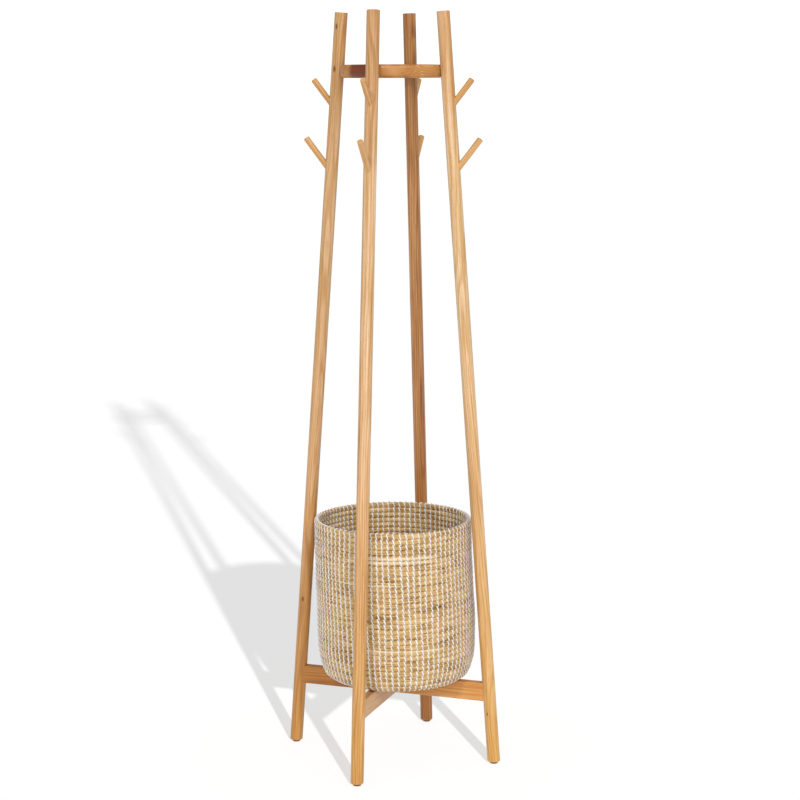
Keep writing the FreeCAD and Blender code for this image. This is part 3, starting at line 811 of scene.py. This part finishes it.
class COATRACK_OT_stage(bpy.types.Operator):
    """Set the pale floor, the soft lights and the camera"""
    bl_idname = "coatrack.stage"
    bl_label = "Studio"

    def execute(self, context):
        scene, stage = context.scene, context.scene.coat_rack_stage
        bm = bmesh.new()
        bmesh.ops.create_circle(bm, cap_ends=True, segments=96, radius=60.0)
        mesh = bpy.data.meshes.new("studio_floor")
        bm.to_mesh(mesh)
        bm.free()
        floor = bpy.data.objects.new("studio_floor", mesh)
        scene.collection.objects.link(floor)
        # Matt white paint: it shows nothing but the soft shadow.
        paint, tree, shader, place = new_material("white studio paint")
        shader.inputs["Base Color"].default_value = (0.40, 0.40, 0.40, 1.0)
        shader.inputs["Roughness"].default_value = 1.0
        shader.inputs["Specular IOR Level"].default_value = 0.0
        shader.inputs["Emission Color"].default_value = (1.0, 1.0, 1.0, 1.0)
        shader.inputs["Emission Strength"].default_value = 0.60
        mesh.materials.append(paint)

        world = bpy.data.worlds.new("white room")
        world.use_nodes = True
        tree = world.node_tree
        tree.nodes.clear()
        seen = add_node(tree, "LightPath").outputs["Is Camera Ray"]
        strength = add_node(tree, "MapRange", None, {
            "Value": seen, "To Min": stage.sky, "To Max": 1.1}).outputs[0]
        light = add_node(tree, "Background", None, {
            "Color": (1.0, 1.0, 1.0, 1.0), "Strength": strength}).outputs[0]
        add_node(tree, "OutputWorld", None, {"Surface": light})
        scene.world = world

        # Lights: heading from the camera's own (left is positive), height, strength
        # and softness.
        heading = stage.camera_turn[2]
        for name, side, up, power, soft in (
                ("key_light", -24.0, 40.0, stage.key, 9.0),
                ("fill_light", 28.0, 40.0, stage.fill, 30.0),
                ("front_light", 3.0, 12.0, stage.front, 7.0),
                ("floor_light", 13.5, 17.5, stage.floor, 1.0)):
            lamp = bpy.data.lights.new(name, "SUN")
            lamp.energy, lamp.angle = power, math.radians(soft)
            light = bpy.data.objects.new(name, lamp)
            light.rotation_euler = (math.radians(90.0 - up), 0.0,
                                    heading + math.radians(side))
            scene.collection.objects.link(light)
            # One low light draws the long shadow, and lights nothing but the floor.
            group = bpy.data.collections.new(name + "_lights")
            group.objects.link(floor)
            light.light_linking.receiver_collection = group
            if name != "floor_light":
                group.collection_objects[0].light_linking.link_state = "EXCLUDE"

        lens = bpy.data.cameras.new("camera")
        lens.lens, lens.sensor_width, lens.shift_x = stage.lens, 36.0, stage.shift
        camera = bpy.data.objects.new("camera", lens)
        tilt, roll, turn = stage.camera_turn
        camera.matrix_world = (Matrix.Translation(stage.camera_place)
                               @ Matrix.Rotation(turn, 4, "Z")
                               @ Matrix.Rotation(tilt, 4, "X")
                               @ Matrix.Rotation(roll, 4, "Z"))
        scene.collection.objects.link(camera)
        scene.camera = camera
        scene.view_settings.view_transform = "Standard"
        return {"FINISHED"}


class COATRACK_PT_panel(bpy.types.Panel):
    bl_label = "Coat Rack"
    bl_idname = "COATRACK_PT_panel"
    bl_space_type = "VIEW_3D"
    bl_region_type = "UI"
    bl_category = "Coat Rack"

    def draw(self, context):
        for operator in OPERATORS:
            self.layout.operator(operator.bl_idname)
        for group in SETTINGS:
            settings = getattr(context.scene, group)
            for name in SETTINGS[group].__annotations__:
                self.layout.prop(settings, name)


OPERATORS = (COATRACK_OT_oak, COATRACK_OT_glides, COATRACK_OT_hardware,
             COATRACK_OT_basket_coils, COATRACK_OT_basket_stitches, COATRACK_OT_stage)
SETTINGS = {"coat_rack_oak": OakSettings, "coat_rack_basket": BasketSettings,
            "coat_rack_fittings": FittingSettings, "coat_rack_stage": StageSettings}


def register():
    for kind in (*SETTINGS.values(), *OPERATORS, COATRACK_PT_panel):
        bpy.utils.register_class(kind)
    for name, kind in SETTINGS.items():
        setattr(bpy.types.Scene, name, PointerProperty(type=kind))


def unregister():
    for name in SETTINGS:
        delattr(bpy.types.Scene, name)
    for kind in (COATRACK_PT_panel, *reversed(OPERATORS), *reversed(SETTINGS.values())):
        bpy.utils.unregister_class(kind)


def main():
    register()
    bpy.ops.coatrack.oak()
    bpy.ops.coatrack.glides()
    bpy.ops.coatrack.hardware()
    bpy.ops.coatrack.basket_coils()
    bpy.ops.coatrack.basket_stitches()
    bpy.ops.coatrack.stage()


if __name__ == "__main__":
    main()
